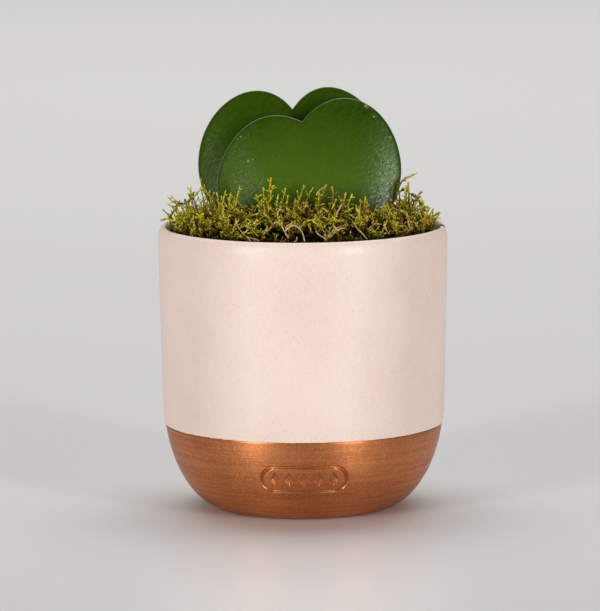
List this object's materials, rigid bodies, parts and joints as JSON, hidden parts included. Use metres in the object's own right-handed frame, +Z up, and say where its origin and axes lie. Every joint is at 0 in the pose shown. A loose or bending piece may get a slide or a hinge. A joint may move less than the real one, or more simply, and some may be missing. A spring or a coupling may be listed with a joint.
{
  "type": "potted hoya plant",
  "caption": "Small potted sweetheart hoya: thick heart-shaped leaf cuttings standing in moss, in a round two-tone glazed ceramic pot with a rounded base.",
  "frame": {"origin": "centre of the circle that the pot stands on", "axes": "+Z up through the pot's middle, the front of the plant and the badge on the pot face -Y, +X to the right seen from the front"},
  "size_m": [0.1302, 0.1302, 0.1888],
  "materials": {
    "pot_glaze": "satin",
    "copper_paint": "satin",
    "soil": "matte",
    "moss": "matte",
    "leaf": "satin"
  },
  "bodies": {
    "root": {"pot": "pot_glaze", "potting_soil": "soil", "moss_cover": "moss", "leaf_front": "leaf", "leaf_back": "leaf"}
  },
  "joints": []
}
